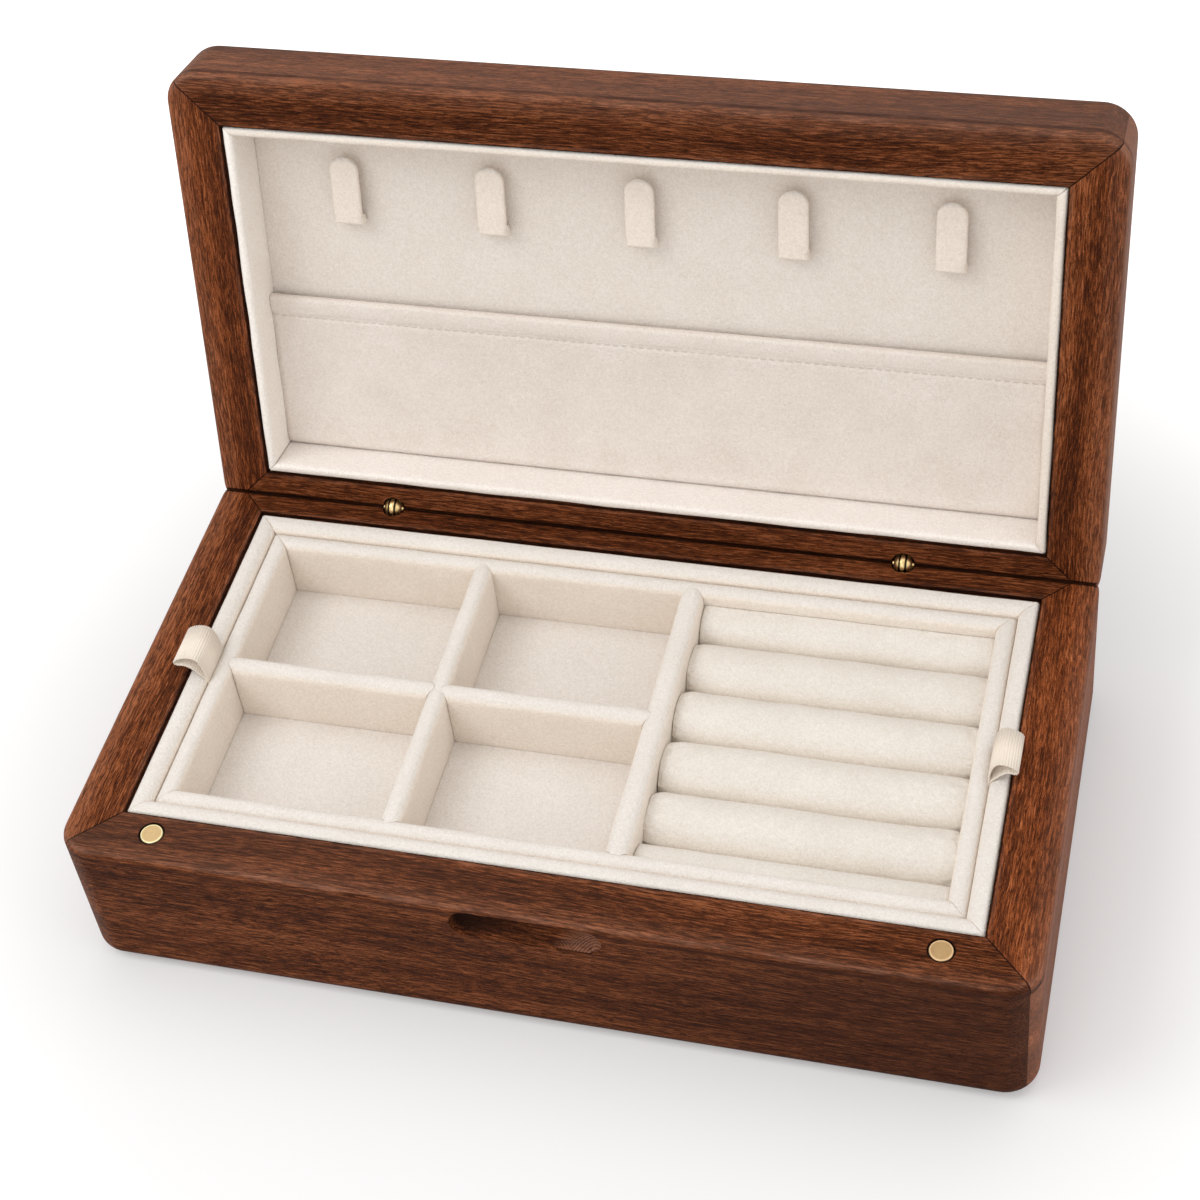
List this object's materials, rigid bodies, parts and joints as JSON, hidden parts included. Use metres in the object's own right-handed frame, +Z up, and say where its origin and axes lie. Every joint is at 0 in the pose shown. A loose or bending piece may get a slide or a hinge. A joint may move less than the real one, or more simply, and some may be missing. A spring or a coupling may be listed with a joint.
{
  "type": "cufflink display box",
  "caption": "Hinged walnut box with velvet lining, a lift-out tray of compartments and ring rolls, a lid pocket, fabric tabs and ribbon pulls.",
  "frame": {"origin": "centre of the felt underside that the box stands on", "axes": "+Z up, -Y towards the front of the box, +X towards the side with the ring rolls; the lid stands open"},
  "size_m": [0.294, 0.2099, 0.2047],
  "materials": {
    "walnut": "satin oiled walnut",
    "walnut_panel": "satin oiled walnut veneer",
    "plywood": "bare plywood",
    "velvet": "short-pile cream velvet over board or foam",
    "ribbon": "cream grosgrain ribbon",
    "felt": "dark brown felt",
    "brass": "polished brass"
  },
  "bodies": {
    "base": {"base_back_rail": "walnut", "base_bottom_panel": "plywood", "base_felt": "felt", "base_floor_lining": "velvet", "base_front_rail": "walnut", "base_left_rail": "walnut", "base_liner_back": "velvet", "base_liner_front": "velvet", "base_liner_left": "velvet", "base_liner_right": "velvet", "base_magnet_left": "brass", "base_magnet_right": "brass", "base_right_rail": "walnut", "hinge_barrel_base_left": "brass", "hinge_barrel_base_right": "brass", "hinge_pin_left": "brass", "hinge_pin_right": "brass", "tray_ledge_left": "velvet", "tray_ledge_right": "velvet"},
    "lid": {"hinge_barrel_lid_left": "brass", "hinge_barrel_lid_right": "brass", "lid_back_board": "velvet", "lid_back_rail": "walnut", "lid_front_rail": "walnut", "lid_hook_1": "velvet", "lid_hook_2": "velvet", "lid_hook_3": "velvet", "lid_hook_4": "velvet", "lid_hook_5": "velvet", "lid_left_rail": "walnut", "lid_liner_back": "velvet", "lid_liner_front": "velvet", "lid_liner_left": "velvet", "lid_liner_right": "velvet", "lid_pocket": "velvet", "lid_pocket_hem": "velvet", "lid_right_rail": "walnut", "lid_top_panel": "walnut_panel"},
    "tray": {"compartment_pad_1": "velvet", "compartment_pad_2": "velvet", "compartment_pad_3": "velvet", "compartment_pad_4": "velvet", "ribbon_pull_left": "ribbon", "ribbon_pull_right": "ribbon", "ring_roll_1": "velvet", "ring_roll_2": "velvet", "ring_roll_3": "velvet", "ring_roll_4": "velvet", "ring_roll_5": "velvet", "ring_roll_6": "velvet", "tray_cross_divider": "velvet", "tray_floor": "velvet", "tray_long_divider": "velvet", "tray_mid_divider": "velvet", "tray_wall_back": "velvet", "tray_wall_front": "velvet", "tray_wall_left": "velvet", "tray_wall_right": "velvet"}
  },
  "joints": [
    {"name": "lid_hinge", "type": "hinge", "parent": "base", "child": "lid", "pos_m": [0, 0.0725, 0.055], "axis": [1, 0, 0], "range_deg": [0, 102], "deforming": ["ribbon_pull_left", "ribbon_pull_right"]},
    {"name": "tray_lift", "type": "slide", "parent": "base", "child": "tray", "axis": [0, 0, 1], "range_m": [0, 0.075]}
  ]
}
